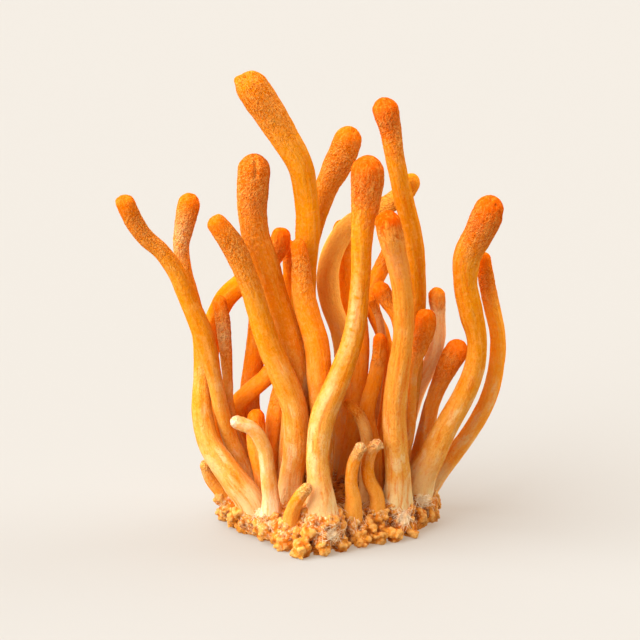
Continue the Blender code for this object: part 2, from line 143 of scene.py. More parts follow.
RIDGES_LOST_ON_HEAD = 0.8
PATTERN_SHIFTS = 97  # a club's pattern is shifted by a number made from its name, one of this many
TO_THE_FRONT = np.array([0, -1, 0])
FILLETS = ((0.4, 0.45), (1.7, 0.25))  # where the lump swells round each foot: (from the foot, wider by)
fillets = []  # filled by each club, for the lump: (x, y, z, radius) in millimetres
COLLAR_FROM_FOOT = (1.2, 2.6)  # crumbs of grain cling round a foot at these distances from its end
CRUMBS_ON_COLLAR = 6
collars = []


def along_route(points, wanted):
    """Places and radii on the smooth curve through the points, at these distances from the foot."""
    listed = np.array(points, float)
    gaps = np.linalg.norm(np.diff(listed[:, :3], axis=0), axis=1)
    stations = np.concatenate([[0.0], np.cumsum(gaps)])
    slopes = np.gradient(listed, stations, axis=0)
    index = np.clip(np.searchsorted(stations, wanted) - 1, 0, len(gaps) - 1)
    step = gaps[index][:, None]
    s = ((wanted - stations[index]) / gaps[index])[:, None]
    return (
        (2 * s**3 - 3 * s**2 + 1) * listed[index]
        + (s**3 - 2 * s**2 + s) * step * slopes[index]
        + (3 * s**2 - 2 * s**3) * listed[index + 1]
        + (s**3 - s**2) * step * slopes[index + 1]
    )


def ring_stations(length, tip_radius, head):
    """Distances from the foot of a club's rings: close on its head, and closest over its tip."""
    over_tip = tip_radius * (1 - np.cos(np.linspace(0, np.pi / 2, RINGS_OVER_TIP)))
    on_head = np.arange(tip_radius + HEAD_RING, max(head, tip_radius + 2 * HEAD_RING), HEAD_RING)
    on_stem = np.arange(on_head[-1] + STEM_RING, length, STEM_RING)
    return length - np.concatenate([over_tip, on_head, on_stem])[::-1]


def rise(value, low, high):
    """A smooth step from 0 at low to 1 at high."""
    t = np.clip((value - low) / (high - low), 0, 1)
    return t * t * (3 - 2 * t)


def bumps(places, size, basis="PERLIN_ORIGINAL"):
    """Random heights, about -1 to 1, from bumps of this size in millimetres."""
    return np.array([noise.noise(Vector(place), noise_basis=basis) for place in places / size])


def unit(vectors):
    return vectors / np.linalg.norm(vectors, axis=-1, keepdims=True)


def piece(name, bm, material):
    """Links a finished bmesh, in metres, as a smooth piece that rides on the bunch."""
    mesh = bpy.data.meshes.new(name)
    bm.to_mesh(mesh)
    bm.free()
    mesh.shade_smooth()
    mesh.materials.append(material)
    made = link(bpy.data.objects.new(name, mesh))
    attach(made, "root")
    return made


def club(name, material, slot, points, head=10.0, marks=(), bloom=(), flare=0.3, ridge=0.07, grain=1.0,
         crumbs=CRUMBS_ON_COLLAR):
    """One club on its route. Its marks are lobes and dents: (from the tip, degrees to the right of the
    front, width, height) in millimetres. Its bloom is pale patches: (from the tip, degrees, width,
    length). Its crumbs are grains of the lump that cling round its foot."""
    listed = np.array(points, float)
    length = np.linalg.norm(np.diff(listed[:, :3], axis=0), axis=1).sum()
    tip_radius = listed[-1, 3]
    stations = ring_stations(length, tip_radius, head)
    across, up, depth, radius = along_route(points, stations).T
    centre = np.column_stack(in_row_frame(across, up, depth)) / MM
    from_tip = length - stations
    cap = np.clip(1 - from_tip / tip_radius, 0, 1)
    radius = radius * np.sqrt(1 - cap**2) * (1 + flare * np.exp(-((stations / FLARE_LENGTH) ** 2)))
    for rise_from_foot, spread in FILLETS:
        ring = np.argmin(np.abs(stations - rise_from_foot))
        fillets.append((*centre[ring], radius[ring] + spread))
    for distance in COLLAR_FROM_FOOT:
        ring = np.argmin(np.abs(stations - distance))
        collars.append((centre[ring], radius[ring], crumbs))
    along = unit(np.gradient(centre, stations, axis=0))
    front = unit(TO_THE_FRONT - along * (along @ TO_THE_FRONT)[:, None])
    right = np.cross(along, front)
    steepness = np.gradient(radius, stations)

    bm = bmesh.new()
    columns = round(2 * math.pi * listed[:, 3].max() / COLUMN_WIDTH)
    bmesh.ops.create_grid(bm, x_segments=columns, y_segments=len(stations) - 1, size=1)
    flat = np.array([vert.co[:2] for vert in bm.verts])
    row = np.rint((flat[:, 1] + 1) / 2 * (len(stations) - 1)).astype(int)

    def outward(row, turn):
        return front[row] * np.cos(turn)[:, None] + right[row] * np.sin(turn)[:, None]

    turn = math.pi * flat[:, 0]
    out = outward(row, turn)
    skin = centre[row] + out * radius[row][:, None]
    facing = unit(out - along[row] * steepness[row][:, None])
    straight = np.column_stack([radius[row] * np.cos(turn), radius[row] * np.sin(turn), stations[row]])
    own = straight + sum(name.encode()) % PATTERN_SHIFTS
    on_head = 1 - rise(from_tip[row], head * HEAD_FADES[0], head * HEAD_FADES[1])
    at_foot = 1 - rise(stations[row], *FOOT_FADES)
    height = SWELLING_SHARE * radius[row] * bumps(own, SWELLING_SIZE) + WAVE_HEIGHT * bumps(own, WAVE_SIZE)
    ridges = ridge * bumps(own * RIDGE_STRETCH, RIDGE_SIZE) * (1 - RIDGES_LOST_ON_HEAD * on_head)
    height += ridges * (1 + at_foot)
    height -= GRAIN_HEIGHT * grain * bumps(own, GRAIN_CELL, "VORONOI_F1") * (on_head + GRAIN_ON_STEM)
    for mark_from_tip, mark_turn, width, mark_height in marks:
        ring = np.argmin(np.abs(from_tip - mark_from_tip))
        place = centre[ring] + radius[ring] * outward([ring], np.radians([mark_turn]))[0]
        height += mark_height * np.exp(-((skin - place) ** 2).sum(axis=1) / width**2)
    skin = (skin + facing * height[:, None]) * MM

    patch = np.zeros(len(row))
    for patch_from_tip, patch_turn, width, patch_length in bloom:
        aside = radius[row] * ((turn - math.radians(patch_turn) + math.pi) % (2 * math.pi) - math.pi)
        away = (from_tip[row] - patch_from_tip) / patch_length
        patch = np.maximum(patch, np.exp(-((aside / width) ** 2) - away**2))

    straight_layer = bm.verts.layers.float_vector.new("straight")
    numbers = {"from_tip": from_tip[row], "from_foot": stations[row], "bloom": patch}
    layers = [(bm.verts.layers.float.new(label), values) for label, values in numbers.items()]
    for number, vert in enumerate(bm.verts):
        vert.co = skin[number]
        vert[straight_layer] = own[number]
        for layer, values in layers:
            vert[layer] = values[number]
    bmesh.ops.remove_doubles(bm, verts=bm.verts, dist=WELD)
    bmesh.ops.holes_fill(bm, edges=bm.edges, sides=0)
    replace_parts(piece(name + "_skin", bm, material), name)


def add(tree, kind, inputs, output=0, **settings):
    """Adds a shader node, sets or links its inputs, and gives one of its outputs."""
    made = tree.nodes.new("ShaderNode" + kind)
    for key, value in settings.items():
        setattr(made, key, value)
    for key, value in inputs.items():
        if isinstance(value, bpy.types.NodeSocket):
            tree.links.new(value, made.inputs[key])
        else:
            made.inputs[key].default_value = value
    return made.outputs[output]


def worked(tree, operation, first, second=0.0):
    return add(tree, "Math", {0: first, 1: second}, operation=operation)


def stepped(tree, value, low, high):
    """A smooth mask from 0 at low to 1 at high."""
    ends = {"Value": value, "From Min": low, "From Max": high}
    return add(tree, "MapRange", ends, interpolation_type="SMOOTHSTEP")


def dyed(tree, share, ground, dye, how="MIX"):
    """A colour mixed into another by a share."""
    return add(tree, "Mix", {0: share, 6: ground, 7: dye}, 2, data_type="RGBA", blend_type=how)


def both(tree, first, second):
    return worked(tree, "MULTIPLY", first, second)


def scaled(tree, value, factor, lift=0.0):
    return add(tree, "Math", {0: value, 1: factor, 2: lift}, operation="MULTIPLY_ADD")


def noisy(tree, vector, scale, detail):
    return add(tree, "TexNoise", {"Vector": vector, "Scale": scale, "Detail": detail})


def stretched(tree, vector, scale):
    return add(tree, "VectorMath", {0: vector, 1: scale}, operation="MULTIPLY")


def new_group(name, inputs, outputs):
    """An empty shader node group, with its named inputs and outputs."""
    tree = bpy.data.node_groups.new(name, "ShaderNodeTree")
    for side, sockets in (("INPUT", inputs), ("OUTPUT", outputs)):
        for label, kind in sockets.items():
            tree.interface.new_socket(label, in_out=side, socket_type="NodeSocket" + kind)
    return tree, tree.nodes.new("NodeGroupInput").outputs, tree.nodes.new("NodeGroupOutput").inputs


# The fine grain of the skin: a dense field of tiny domes with dark pores between some of them.
grain_group, given, result = new_group(
    "fine_grain",
    {"Place": "Vector", "Cell": "Float"},
    {"Dots": "Float", "Pores": "Float", "Height": "Float"},
)
density = worked(grain_group, "DIVIDE", 1.0, given["Cell"])
uneven = add(grain_group, "TexNoise", {"Vector": given["Place"], "Scale": density, "Detail": 2.0})
warped = add(grain_group, "VectorMath", {0: given["Place"], 1: uneven}, operation="ADD")
domes = add(grain_group, "TexVoronoi", {"Vector": warped, "Scale": density}, "Distance")
curls = noisy(grain_group, given["Place"], worked(grain_group, "MULTIPLY", density, 0.75), 1.0)
off_ridge = worked(grain_group, "ABSOLUTE", worked(grain_group, "SUBTRACT", curls, 0.5))
ridges = stepped(grain_group, off_ridge, 0.07, 0.0)
tops = stepped(grain_group, domes, 0.38, 0.14)
dots = worked(grain_group, "MAXIMUM", tops, scaled(grain_group, ridges, 0.35))
grain_group.links.new(dots, result["Dots"])
pits = both(grain_group, stepped(grain_group, domes, 0.42, 0.7), stepped(grain_group, uneven, 0.35, 0.6))
beside_ridges = worked(grain_group, "SUBTRACT", 1.0, ridges)
grain_group.links.new(both(grain_group, pits, beside_ridges), result["Pores"])
raised = scaled(grain_group, ridges, 0.25, 1.0)
grain_group.links.new(worked(grain_group, "SUBTRACT", raised, domes), result["Height"])

# The whole skin of a club, from its pale foot to its grainy head. Lengths are in millimetres.
SKIN_CELL = 0.35
CAP_TINT = (0.95, 0.75, 0.3, 1.0)  # deepens the smooth skin over a tip
skin_group, given, result = new_group(
    "club_skin",
    {
        "Head": "Color", "Stem": "Color", "Low": "Color", "Foot": "Color",
        "Pore": "Color", "Dot": "Color", "Bloom": "Color", "Dusting": "Float", "Cap": "Float",
        "Head Length": "Float", "Foot Length": "Float", "Mottling": "Float", "Flaking": "Float",
    },
    {"Color": "Color", "Roughness": "Float", "Height": "Float"},
)
place = add(skin_group, "Attribute", {}, "Vector", attribute_name="straight")
from_tip = add(skin_group, "Attribute", {}, "Fac", attribute_name="from_tip")
from_foot = add(skin_group, "Attribute", {}, "Fac", attribute_name="from_foot")
bloom_there = add(skin_group, "Attribute", {}, "Fac", attribute_name="bloom")
slow = noisy(skin_group, place, 0.35, 3.0)
blotches = noisy(skin_group, place, 1.1, 3.0)
patches = noisy(skin_group, stretched(skin_group, place, (1.0, 1.0, 0.4)), 0.6, 5.0)
streaks = noisy(skin_group, stretched(skin_group, place, (1.0, 1.0, 0.1)), 1.9, 4.0)
grain = skin_group.nodes.new("ShaderNodeGroup")
grain.node_tree = grain_group
skin_group.links.new(stretched(skin_group, place, (1.0, 1.0, 0.9)), grain.inputs["Place"])
grain.inputs["Cell"].default_value = SKIN_CELL
ragged = scaled(skin_group, slow, 8.0, -4.0)
head_end = worked(skin_group, "DIVIDE", worked(skin_group, "ADD", from_tip, ragged), given["Head Length"])
on_head = stepped(skin_group, head_end, 1.6, 0.5)
foot_end = worked(skin_group, "DIVIDE", worked(skin_group, "ADD", from_foot, ragged), given["Foot Length"])
at_foot = both(skin_group, stepped(skin_group, foot_end, 1.5, 0.4), stepped(skin_group, streaks, 0.25, 0.6))
scales = add(
    skin_group, "TexVoronoi",
    {"Vector": stretched(skin_group, place, (1.0, 1.0, 0.45)), "Scale": 1.5}, feature="DISTANCE_TO_EDGE",
)
below_tip = stepped(skin_group, head_end, 0.25, 0.7)
on_neck = both(skin_group, stepped(skin_group, head_end, 2.2, 1.0), below_tip)
flaky = both(skin_group, on_neck, given["Flaking"])
flakes = both(skin_group, both(skin_group, stepped(skin_group, scales, 0.02, 0.16), flaky), blotches)
ragged_foot = worked(skin_group, "ADD", from_foot, scaled(skin_group, slow, 30.0, -15.0))
low_down = stepped(skin_group, ragged_foot, 34.0, 10.0)
colour = dyed(skin_group, low_down, given["Stem"], given["Low"])
cream_there = both(skin_group, stepped(skin_group, patches, 0.5, 0.66), low_down)
colour = dyed(skin_group, scaled(skin_group, cream_there, 0.7), colour, given["Foot"])
orange_there = scaled(skin_group, stepped(skin_group, patches, 0.48, 0.34), 0.65)
colour = dyed(skin_group, orange_there, colour, given["Stem"])
colour = dyed(skin_group, on_head, colour, given["Head"])
mottled = both(skin_group, stepped(skin_group, blotches, 0.45, 0.75), given["Mottling"])
colour = dyed(skin_group, mottled, colour, given["Dot"])
pale_streak = scaled(skin_group, stepped(skin_group, streaks, 0.5, 0.7), 0.45)
colour = dyed(skin_group, pale_streak, colour, given["Low"])
dark_streak = scaled(skin_group, stepped(skin_group, streaks, 0.5, 0.3), 0.5)
colour = dyed(skin_group, dark_streak, colour, given["Head"])
specks = noisy(skin_group, stretched(skin_group, place, (1.0, 1.0, 0.6)), 3.2, 3.0)
speckled = scaled(skin_group, stepped(skin_group, specks, 0.55, 0.7), 0.4)
colour = dyed(skin_group, speckled, colour, given["Head"])
flecks = both(skin_group, stepped(skin_group, specks, 0.46, 0.3), worked(skin_group, "ADD", low_down, 0.3))
colour = dyed(skin_group, scaled(skin_group, flecks, 0.15), colour, given["Foot"])
spots = add(skin_group, "TexVoronoi", {"Vector": place, "Scale": 1.9}, "Distance")
spotted = both(skin_group, stepped(skin_group, spots, 0.26, 0.12), scaled(skin_group, low_down, 0.6))
colour = dyed(skin_group, spotted, colour, given["Head"])
colour = dyed(skin_group, at_foot, colour, given["Foot"])
powder = both(skin_group, bloom_there, stepped(skin_group, blotches, 0.25, 0.55))
colour = dyed(skin_group, powder, colour, given["Bloom"])
colour = dyed(skin_group, flakes, colour, given["Dot"])
smooth_cap = both(skin_group, stepped(skin_group, from_tip, 4.0, 0.8), given["Cap"])
colour = dyed(skin_group, smooth_cap, colour, CAP_TINT, "MULTIPLY")
grainy = scaled(skin_group, on_head, 0.8, 0.2)
grainy = both(skin_group, grainy, worked(skin_group, "SUBTRACT", 1.0, smooth_cap))
dusted = both(skin_group, both(skin_group, grain.outputs["Dots"], grainy), given["Dusting"])
colour = dyed(skin_group, dusted, colour, given["Dot"])
porous = scaled(skin_group, both(skin_group, grain.outputs["Pores"], grainy), 0.65)
colour = dyed(skin_group, porous, colour, given["Pore"])
skin_group.links.new(colour, result["Color"])
matt = worked(skin_group, "ADD", on_head, at_foot)
skin_group.links.new(scaled(skin_group, matt, 0.12, 0.52), result["Roughness"])
relief = scaled(skin_group, both(skin_group, grain.outputs["Height"], grainy), 1.5)
relief = worked(skin_group, "ADD", relief, scaled(skin_group, streaks, 1.0))
relief = worked(skin_group, "SUBTRACT", relief, scaled(skin_group, specks, 0.6))
skin_group.links.new(worked(skin_group, "ADD", relief, scaled(skin_group, flakes, 1.2)), result["Height"])


FOOT_LENGTH = 6.0
SKIN_RELIEF = 0.18
SKIN_DEPTH = 0.6  # how far light passes under the skin


def skin(name, head, stem, low, foot, head_length=10.0, mottling=0.25, flaking=0.4, dusting=0.8, cap=0.75,
         dot=(0.84, 0.4, 0.1), pore=(0.48, 0.06, 0.001), bloom=(0.73, 0.395, 0.15)):
    """A club's skin: matt, velvety, and a little translucent, in these colours."""
    material = bpy.data.materials.new(name)
    material.use_nodes = True
    tree = material.node_tree
    shader = tree.nodes["Principled BSDF"]
    pattern = tree.nodes.new("ShaderNodeGroup")
    pattern.node_tree = skin_group
    colours = {
        "Head": head, "Stem": stem, "Low": low, "Foot": foot, "Pore": pore, "Dot": dot, "Bloom": bloom,
    }
    for label, value in colours.items():
        pattern.inputs[label].default_value = (*value, 1.0)
    numbers = {
        "Head Length": head_length, "Foot Length": FOOT_LENGTH, "Mottling": mottling, "Dusting": dusting,
        "Cap": cap, "Flaking": flaking,
    }
    for label, value in numbers.items():
        pattern.inputs[label].default_value = value
    tree.links.new(pattern.outputs["Color"], shader.inputs["Base Color"])
    tree.links.new(pattern.outputs["Roughness"], shader.inputs["Roughness"])
    relief = {"Height": pattern.outputs["Height"], "Distance": SKIN_RELIEF * MM, "Strength": 1.0}
    bump = add(tree, "Bump", relief, "Normal")
    tree.links.new(bump, shader.inputs["Normal"])
    shader.inputs["Subsurface Weight"].default_value = 0.12
    shader.inputs["Subsurface Radius"].default_value = (1.0, 0.5, 0.1)
    shader.inputs["Subsurface Scale"].default_value = SKIN_DEPTH * MM
    shader.inputs["Specular IOR Level"].default_value = 0.0
    return material


RIPE_HEAD = (0.7, 0.152, 0.001)
RIPE_STEM = (0.67, 0.205, 0.002)
RIPE_LOW = (0.71, 0.31, 0.05)
CREAM_FOOT = (0.74, 0.53, 0.25)
ripe = skin("ripe_skin", RIPE_HEAD, RIPE_STEM, RIPE_LOW, CREAM_FOOT)
tallest = skin("tallest_skin", (0.8, 0.185, 0.001), (0.72, 0.24, 0.002), RIPE_LOW, CREAM_FOOT, cap=0.15)
deep = skin("deep_skin", (0.64, 0.1, 0.001), RIPE_STEM, RIPE_LOW, CREAM_FOOT, head_length=8.0,
            dusting=0.35)
grained = skin("grained_skin", (0.68, 0.125, 0.001), (0.67, 0.175, 0.001), RIPE_LOW, CREAM_FOOT, cap=0.15)

club("tall_left_club", tallest, "ripe_skin", [
    (-1.6, 2.6, -2.3, 2), (-1.3, 11, -1.5, 2), (-1.4, 18, -0.9, 2), (-2.6, 24.5, -0.5, 1.95),
    (-3.9, 34.2, -0.5, 1.95), (-4, 42.5, -0.5, 2.1), (-3.3, 50, -1, 2), (-3.8, 55.8, -1, 2),
    (-4.6, 60, -1.5, 2.15), (-6.9, 64.2, -2, 2.35), (-9.8, 68.8, -2.5, 2.7),
    (-12.3, 72.4, -3, 2.8), (-13.7, 75.2, -3, 2.35)],
    head=14.0, marks=[
        (0.5, -80, 0.8, 0.7), (0.2, -10, 0.35, -0.8), (1.0, -25, 0.3, -0.6), (0.3, 60, 0.9, 0.3),
        (4.2, -90, 0.9, -0.25)])
club("tall_back_club", ripe, "ripe_skin", [
    (-0.8, 5.2, 4, 1.7), (-1.6, 14.2, 4.2, 1.7), (-2.5, 25.8, 4.2, 1.7),
    (-3.7, 37.5, 4.3, 1.7), (-3.3, 46.7, 4.5, 1.75), (-1.8, 52.5, 5, 1.85), (0, 57, 5.5, 2),
    (1.7, 60.5, 6, 2.45), (3.1, 63.8, 6.5, 2.4), (3.75, 66.6, 6.5, 2.1)],
    head=13.0, marks=[(0.3, 40, 0.4, -0.4), (0.9, 60, 0.4, -0.3)])
club("tall_right_club", deep, "ripe_skin", [
    (10.2, 3.8, 3.2, 1.7), (12, 11, 2.2, 1.75), (13.5, 21, 1, 1.7), (14.5, 30.8, 0.5, 1.65),
    (14.7, 40, 0, 1.65), (14.2, 47.5, 0, 1.65), (12.5, 55, 0, 1.6), (11, 61.7, 0, 1.6),
    (10.2, 66.7, 0.5, 1.9), (9.5, 69.2, 0.5, 2.2), (9, 71.2, 0.5, 2)],
    head=9.0, marks=[(0.4, -40, 0.9, 0.2), (0.3, 60, 0.8, -0.25)])
club("front_centre_club", deep, "ripe_skin", [
    (-1.2, -0.8, -13.5, 2.1), (-1.1, 4.2, -13.2, 2.1), (-1.7, 10.8, -12.5, 1.9),
    (-1.0, 17.8, -11.8, 2.05), (1.7, 24.5, -11, 1.95), (4.2, 31.7, -10.5, 1.75),
    (5.3, 40.2, -10, 1.65), (5.7, 49.2, -10, 1.9), (6.3, 55, -10, 2.55),
    (6.5, 58.3, -10, 2.8), (6.5, 61.5, -10, 2.5)],
    head=13.0, flare=0.62, crumbs=2,
    marks=[(1.5, 60, 0.3, -0.3), (3.2, 70, 0.3, -0.3), (2.4, 45, 0.25, -0.2)],
    bloom=[(58, -20, 1.6, 5), (27, -25, 0.9, 7), (41, -30, 0.8, 5)])


# The front clubs. They stand nearest to the viewer in the middle of the bunch: a thick one with a groove
# down its head, one that leans left before it, a pointed one, and one with a smooth cap on a scaly neck.
scaly = skin("scaly_neck", (0.64, 0.09, 0.001), (0.70, 0.23, 0.02), RIPE_LOW, CREAM_FOOT,
             head_length=3.2, mottling=0.2, flaking=0.5, dusting=0.3, cap=0.95, bloom=(0.7, 0.25, 0.06))
pointed = skin("pointed_skin", (0.72, 0.15, 0.001), (0.76, 0.2, 0.002), RIPE_LOW, CREAM_FOOT,
               head_length=7.0)

club("thick_left_club", grained, "ripe_skin", [
    (-5.8, 3.9, 0.2, 2), (-6.2, 12.5, -1.8, 2.05), (-5.7, 18, -3.2, 2.1),
    (-5.2, 22.5, -4.2, 2.1), (-5.8, 29.2, -4.4, 2.15), (-7.5, 35, -4.2, 2), (-9, 39.7, -4, 2),
    (-10.3, 43.8, -4, 2.3), (-12, 48.3, -4.2, 2.35), (-12.5, 52.5, -4.5, 2.45),
    (-12.45, 56.2, -5, 2.65), (-12.25, 59.2, -5, 2.65), (-12.3, 61.85, -5, 2.3)],
    head=17.0, marks=[(down, 8, 0.35, -0.45) for down in (0.1, 0.7, 1.3, 1.9, 2.5, 3.1)])
club("front_left_club", ripe, "ripe_skin", [
    (-6.5, 2.1, -4.5, 2.0), (-6.2, 7.5, -5.8, 2.0), (-5.3, 13.3, -7.4, 2.1),
    (-5.7, 20, -8.7, 2.15), (-7.5, 25, -9, 2.15), (-9.8, 30.3, -9, 2.0),
    (-11.7, 36.3, -9, 1.85), (-13.5, 41.7, -9.5, 1.8), (-15.5, 46.2, -10, 1.95),
    (-17.3, 49, -10.5, 1.85), (-19.2, 51.3, -11, 1.5)],
    head=12.0, flare=0.35, marks=[(0.6, -60, 0.7, 0.25), (0.6, 90, 0.7, 0.22), (0.1, 0, 0.5, -0.25)])
club("pointed_middle_club", pointed, "ripe_skin", [
    (-2.0, 0.7, -8, 1.9), (-1.0, 10, -7.4, 1.9), (-0.8, 14.5, -7, 1.95),
    (-1, 18.5, -7, 1.95), (-1.4, 24.2, -7.2, 2.1), (-1.8, 30, -7, 2.15), (-3.2, 35, -6.3, 2.0),
    (-4.3, 40, -5.9, 1.8), (-4.5, 43.8, -5.6, 1.5), (-4.8, 46, -5.5, 1.35),
    (-5.1, 47.9, -5.5, 1.1)],
    head=8.0)
club("front_right_club", scaly, "ripe_skin", [
    (11.3, 1.2, -4.5, 2.0), (11.7, 6.7, -5.5, 2.05), (11.3, 13.3, -7, 2.05),
    (11, 18.3, -8, 2.0), (11.5, 24.5, -9, 1.9), (12.5, 32.5, -10, 1.7),
    (12.3, 38.8, -11, 1.75), (11.3, 44.5, -12, 1.9), (10.2, 48.8, -13, 2.2),
    (9.5, 52.3, -13.5, 1.9)],
    head=13.0, flare=0.42, crumbs=2, marks=[(1.2, -80, 1.0, 0.2), (0.2, 20, 0.9, -0.2)],
    bloom=[(8, 0, 1.8, 3.0)])


# The clubs on the left. They lean outwards, slender above and some of them thick below, where they turn
# upwards out of the side of the lump. Their skin has pale bloom in patches.
# Painted light: colours brighter than the ripe skin's, standing in for light lost in the bunch's deep
# shade.
shaded = skin("shaded_skin", (0.8, 0.16, 0.001), (0.92, 0.25, 0.003), (0.9, 0.29, 0.02), (0.9, 0.4, 0.1),
              head_length=4.0, dusting=0.4, pore=(0.62, 0.1, 0.001))

club("outer_left_club", ripe, "ripe_skin", [
    (-11.8, 0.9, -5.5, 2), (-13.3, 4.7, -6.3, 2.3), (-15.5, 7.5, -6.2, 2.3),
    (-17.7, 10.5, -5.5, 2.15), (-19.7, 13.7, -4.2, 1.95), (-21, 18.8, -2.5, 1.75),
    (-21, 25, -0.8, 1.45), (-21.2, 30.8, -0.3, 1.35), (-22.3, 36.7, 0, 1.3),
    (-23.8, 42.5, 0.5, 1.25), (-24.4, 47, 1, 1.4), (-23.8, 50.5, 1.5, 1.7),
    (-23.25, 53.2, 2, 1.85), (-22.75, 55.5, 2, 1.6)],
    head=8.0, flare=0.2, marks=[(0.8, 80, 0.5, -0.4), (0.1, 30, 0.4, -0.3)],
    bloom=[(7.5, -30, 2.2, 3.0), (12, -80, 1.0, 4), (46, -40, 1.3, 3)])
club("far_left_club", ripe, "ripe_skin", [
    (-13, 3, -1.2, 1.5), (-13.9, 8.3, -1, 1.5), (-16.2, 14.2, -1.8, 1.4),
    (-17.9, 20, -3.3, 1.25), (-19, 25, -4, 1.35), (-20, 29.2, -4.4, 1.7),
    (-21, 32.5, -4.6, 1.75), (-23.1, 37.5, -5, 1.55), (-25.1, 42.2, -5.5, 1.5),
    (-27.4, 45.6, -6, 1.4), (-30.3, 48.2, -6.5, 1.45), (-32.4, 51.3, -7, 1.55),
    (-33.4, 53.5, -7.5, 1.55), (-34.1, 55, -7.5, 1.4)],
    head=9.0, marks=[(0.5, -60, 0.8, 0.3), (0.4, 40, 0.7, -0.35)])
club("thin_left_club", ripe, "ripe_skin", [
    (-11.3, 4.7, 3.2, 1.1), (-13.5, 10.8, 2.2, 0.95), (-15.3, 15.8, 1, 0.85),
    (-16.5, 20.8, -0.3, 0.8), (-16.8, 25.8, -1, 0.9), (-17.2, 30.8, -1.5, 1.15),
    (-17.7, 35.5, -2, 1.25), (-18.3, 38.5, -2, 1.15)],
    head=8.0, bloom=[(6.5, 0, 1.6, 2.5)])
club("bent_back_club", shaded, "shaded_skin", [
    (-14.3, 5.1, 6.3, 1.5), (-16.6, 9.2, 5.4, 1.5), (-19, 15.8, 5.2, 1.4),
    (-19.6, 22.5, 5, 1.4), (-19.7, 29.2, 4.6, 1.5), (-18.7, 35, 4, 1.7),
    (-16.7, 38.5, 3.5, 1.8), (-13.7, 41, 3, 1.75), (-11, 42.8, 2.8, 1.6), (-9, 45, 3, 1.6),
    (-8, 47.5, 3, 1.7), (-7.8, 49.9, 3, 1.5)],
    head=9.0, marks=[(0.0, 0, 0.6, -0.35)])


# The clubs on the right. They lean outwards and turn up again, the big curved one from a foot that fans
# out in ridges. The slender one is pale below its small head, and two short ones stand in the shade.
pinkish = skin("pinkish_skin", (0.67, 0.163, 0.004), (0.71, 0.319, 0.1), (0.72, 0.302, 0.06),
               (0.73, 0.403, 0.15), head_length=3.0)
# Its pale neck is partly its own colour and partly painted light, brighter than the shade it stands in.
pale_neck = skin("pale_neck_skin", (0.88, 0.25, 0.01), (0.93, 0.58, 0.26), (0.92, 0.5, 0.16),
                 (0.92, 0.58, 0.3), head_length=2.6, dusting=0.3, mottling=0.15)
# Painted light: colours brighter than the ripe skin's, for clubs standing in shade on the right.
behind = skin("shade_brightened_right_skin", (0.84, 0.16, 0.001), (0.84, 0.27, 0.01), (0.86, 0.34, 0.05), CREAM_FOOT,
              head_length=7.0, dusting=0.45, pore=(0.62, 0.1, 0.001))

club("right_curved_club", deep, "ripe_skin", [
    (14, 2.8, -0.1, 2.1), (15.6, 8.3, -1, 2.4), (17.5, 12, -1.8, 2.25),
    (19.8, 16.7, -2.5, 2.0), (22.3, 21.3, -3, 1.9), (24.3, 26.2, -3, 1.75),
    (24.8, 30.8, -3, 1.7), (23.8, 35.7, -3, 2.0), (22.8, 40.8, -3, 2.05),
    (23.3, 45.5, -3.2, 2.35), (25, 48.7, -3.5, 2.5), (26.5, 52.2, -4, 2.6),
    (27.2, 55, -4, 2.2)],
    head=12.0, flare=0.5, ridge=0.09, marks=[
        (0.3, 0, 0.4, -0.5), (1.0, 30, 0.35, -0.45), (1.8, 45, 0.35, -0.4), (2.6, 55, 0.35, -0.35),
        (2.4, 90, 0.8, -0.2)], bloom=[(50, 0, 2.0, 4)])
club("outer_right_club", behind, "ripe_skin", [
    (15.3, 4, 4, 1.5), (18.5, 8.3, 3.5, 1.45), (21.6, 12.6, 3, 1.5), (24.6, 16.9, 2.5, 1.45),
    (26.8, 21.2, 2, 1.4), (28.15, 26.7, 2, 1.35), (28.35, 31.7, 2, 1.35), (27.3, 36.8, 2, 1.4),
    (26.3, 41.7, 2, 1.35), (25.8, 45.7, 2, 1.2)],
    head=8.0)
club("short_right_club", behind, "ripe_skin", [
    (12.5, 5.2, 6.8, 1.4), (15.2, 11.2, 5.2, 1.5), (16.5, 16, 4, 1.5), (17.4, 20.3, 2.4, 1.3),
    (18.7, 23.8, 1.5, 1.45), (20.2, 27, 0.5, 1.85), (21.4, 29.1, 0.6, 2), (22.6, 30.9, 1, 1.7)],
    head=8.0)
club("slender_right_club", pale_neck, "pale_skin", [
    (9.8, 6, 9.3, 1.2), (12.4, 12.5, 8.4, 1.1), (13.9, 18.3, 6.6, 1.15),
    (15.4, 23.3, 4.6, 1.25), (17.2, 27.2, 3.4, 1.3), (18.4, 31.2, 2.7, 1.2),
    (18.4, 35.5, 2.2, 1.2), (18.2, 38, 2, 1.45), (18, 39.8, 2, 1.35)],
    head=5.0)
club("narrow_foot_club", behind, "ripe_skin", [
    (10.9, 3.7, -0.6, 0.6), (12, 10, -1.3, 0.65), (13.8, 15.8, -2.5, 0.7),
    (14, 21.7, -3.2, 0.75), (14.2, 26.3, -3.7, 0.95), (15.3, 30, -4, 1.4),
    (16.2, 33.5, -4.3, 1.75), (16.2, 36.3, -4.3, 1.5)],
    head=9.0, marks=[(0.0, 0, 0.5, -0.3)])


# The inner clubs. They are slimmer and crowded, and most of them end below the others' heads, in deep
# shade, so their skin is painted brighter than that of the clubs round them, as painted light. The
# arched one catches light on top; its skin is painted lighter still, as painted light.
# Painted light: this skin is lighter than the ripe one, as painted light on the arched club's top.
painted_lit_back = skin("lit_back_skin", (0.88, 0.32, 0.02), (0.92, 0.48, 0.08), (0.9, 0.42, 0.06), CREAM_FOOT,
                dusting=0.5)

